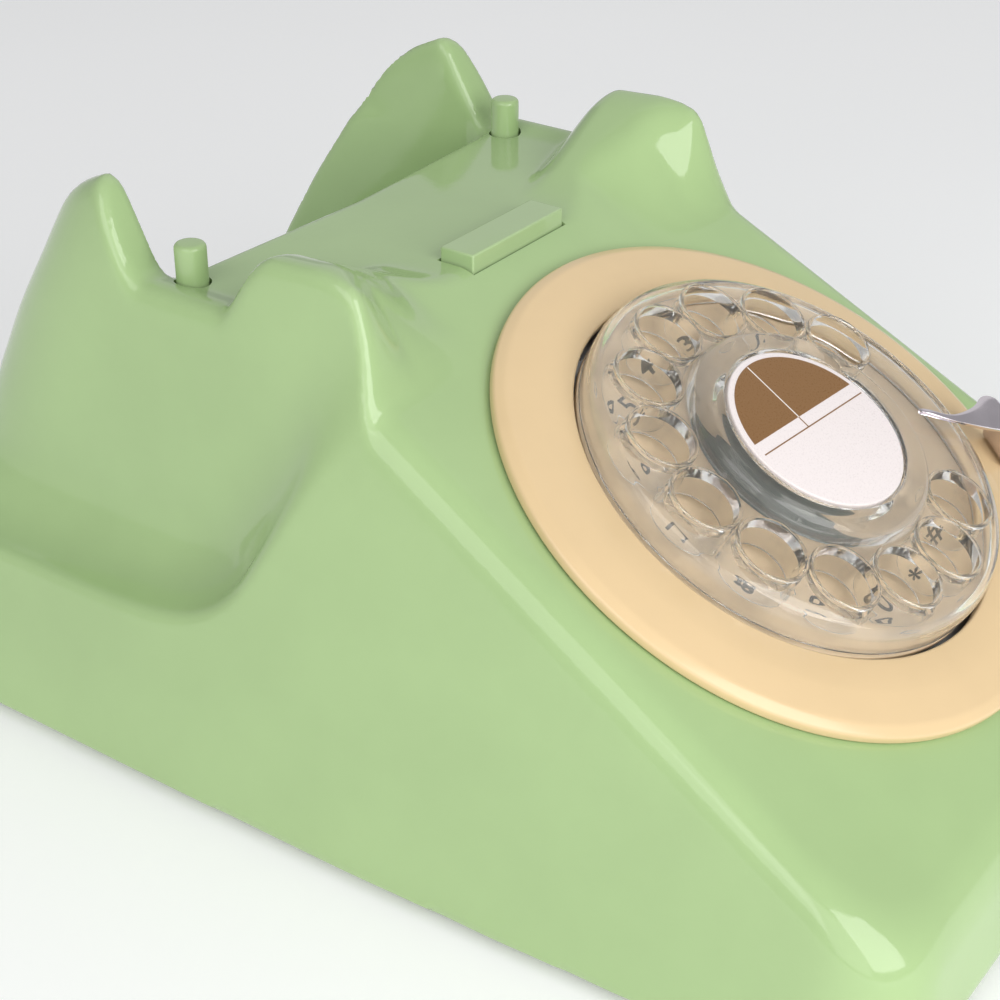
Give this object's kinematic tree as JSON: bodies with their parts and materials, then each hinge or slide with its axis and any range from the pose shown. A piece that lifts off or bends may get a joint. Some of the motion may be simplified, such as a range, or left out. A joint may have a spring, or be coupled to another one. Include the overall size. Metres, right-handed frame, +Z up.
{
  "type": "rotary telephone",
  "caption": "Desk telephone with a moulded case, rotary dial under a clear finger wheel, cradle with two sprung plungers, press bar and internal bell ringer",
  "frame": {"origin": "Middle of the telephone's outline, at the level of the surface that it stands on", "axes": "+Z up, +Y from the dial towards the rear, +X to the user's right when the user faces the dial"},
  "size_m": [0.1686, 0.2464, 0.1088],
  "materials": {
    "case_plastic": "glossy moulded plastic, mint green",
    "ring_plastic": "glossy moulded plastic, beige",
    "plate_plastic": "satin moulded plastic, tan",
    "clear_plastic": "clear moulded acrylic",
    "label_card": "printed card under clear lacquer",
    "hub_plastic": "satin plastic, dark teal grey",
    "bright_chrome": "polished chrome plate",
    "steel": "machined steel",
    "brass": "machined brass",
    "zinc_sheet": "zinc plated sheet steel",
    "dark_plastic": "black phenolic moulding",
    "rubber": "moulded rubber",
    "board": "bonded paper circuit board",
    "winding": "varnished copper wire winding"
  },
  "bodies": {
    "body": {"case_shell": "case_plastic", "dial_surround": "ring_plastic", "number_plate": "plate_plastic", "capacitor": "plate_plastic", "finger_stop": "bright_chrome", "case_screw_1": "steel", "case_screw_2": "steel", "case_screw_3": "steel", "case_screw_4": "steel", "dial_front_plate": "steel", "dial_back_plate": "steel", "dial_screw_1": "steel", "dial_screw_2": "steel", "dial_screw_3": "steel", "return_spring": "steel", "governor_cup": "steel", "hook_pivot": "steel", "hook_spring": "steel", "gong_post_left": "steel", "gong_post_right": "steel", "dial_pillar_1": "brass", "dial_pillar_2": "brass", "dial_pillar_3": "brass", "contact_leaf_1": "brass", "contact_leaf_2": "brass", "gong_left": "brass", "gong_right": "brass", "base_plate": "zinc_sheet", "hook_bracket": "zinc_sheet", "ringer_frame": "zinc_sheet", "contact_block": "dark_plastic", "hook_contacts": "dark_plastic", "recall_switch": "dark_plastic", "terminal_block": "dark_plastic", "foot_1": "rubber", "foot_2": "rubber", "foot_3": "rubber", "foot_4": "rubber", "line_cord_gland": "rubber", "handset_cord_gland": "rubber", "circuit_board": "board", "ringer_coil_left": "winding", "ringer_coil_right": "winding", "induction_coil": "winding"},
    "dial_wheel": {"finger_wheel": "clear_plastic", "label_disc": "label_card", "hub_screw": "brass", "dial_hub": "hub_plastic", "main_shaft": "steel", "main_gear": "brass"},
    "pinion_set": {"pinion": "brass", "pinion_shaft": "steel", "impulse_cam": "dark_plastic", "worm_wheel": "brass"},
    "governor_rotor": {"governor": "brass"},
    "left_plunger": {"plunger_left": "case_plastic"},
    "right_plunger": {"plunger_right": "case_plastic"},
    "lever": {"hook_lever": "steel"},
    "recall": {"recall_button": "case_plastic"},
    "striker": {"clapper": "steel"}
  },
  "joints": [
    {"name": "dial_turn", "type": "hinge", "parent": "body", "child": "dial_wheel", "pos_m": [0, -0.057, 0.061], "axis": [0, 0.4802, -0.8771], "range_deg": [0, 312], "stiffness_Nm_per_rad": 0.004, "springref_deg": -34.38},
    {"name": "pinion_spin", "type": "hinge", "parent": "body", "child": "pinion_set", "pos_m": [-0.02191, -0.0459, 0.06707], "axis": [0, 0.4802, -0.8771], "range_deg": [-1248, 0]},
    {"name": "governor_spin", "type": "hinge", "parent": "body", "child": "governor_rotor", "pos_m": [-0.03251, -0.0363, 0.04953], "axis": [0, 0.8771, 0.4802], "range_deg": [0, 3744]},
    {"name": "plunger_press", "type": "slide", "parent": "body", "child": "left_plunger", "axis": [0, 0, 1], "range_m": [-0.006, 0], "stiffness_N_per_m": 80, "springref_m": 0.004},
    {"name": "plunger_right_press", "type": "slide", "parent": "body", "child": "right_plunger", "axis": [0, 0, 1], "range_m": [-0.006, 0]},
    {"name": "lever_swing", "type": "hinge", "parent": "body", "child": "lever", "pos_m": [0, 0.024, 0.076], "axis": [-1, 0, 0], "range_deg": [0, 19.8]},
    {"name": "recall_press", "type": "slide", "parent": "body", "child": "recall", "axis": [0, 0, 1], "range_m": [-0.0018, 0], "stiffness_N_per_m": 400, "springref_m": 0.0008},
    {"name": "striker_swing", "type": "hinge", "parent": "body", "child": "striker", "pos_m": [0, 0.093, 0.03], "axis": [0, 0, 1], "range_deg": [-4, 4], "stiffness_Nm_per_rad": 0.002}
  ],
  "couplings": [
    {"joint": "pinion_spin", "follows": "dial_turn", "ratio": -4},
    {"joint": "governor_spin", "follows": "dial_turn", "ratio": 12},
    {"joint": "plunger_right_press", "follows": "plunger_press", "ratio": 1},
    {"joint": "lever_swing", "follows": "plunger_press", "rad_per_m": -57.5}
  ]
}
